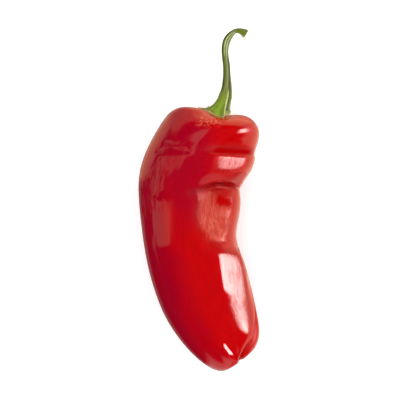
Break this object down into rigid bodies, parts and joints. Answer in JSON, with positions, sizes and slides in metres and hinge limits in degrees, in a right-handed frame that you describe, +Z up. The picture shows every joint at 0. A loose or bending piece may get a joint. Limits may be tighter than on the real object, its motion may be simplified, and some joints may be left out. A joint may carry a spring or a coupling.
{
  "type": "shepherd pepper",
  "caption": "Long sweet red pepper lying on its side: curved glossy fruit with a folded waist and broad shoulders, green calyx and hooked stalk.",
  "frame": {"origin": "on the surface that the pepper lies on, under the middle of its outline seen from above", "axes": "+Z up from that surface; +Y along the pepper from the blossom end to the stalk; +X to the right, seen from above with the stalk at the top, the side that the body curves in on"},
  "size_m": [0.0678, 0.192, 0.0551],
  "materials": {
    "skin": "gloss",
    "stalk": "satin"
  },
  "bodies": {
    "root": {"fruit": "skin", "stem": "stalk"}
  },
  "joints": []
}
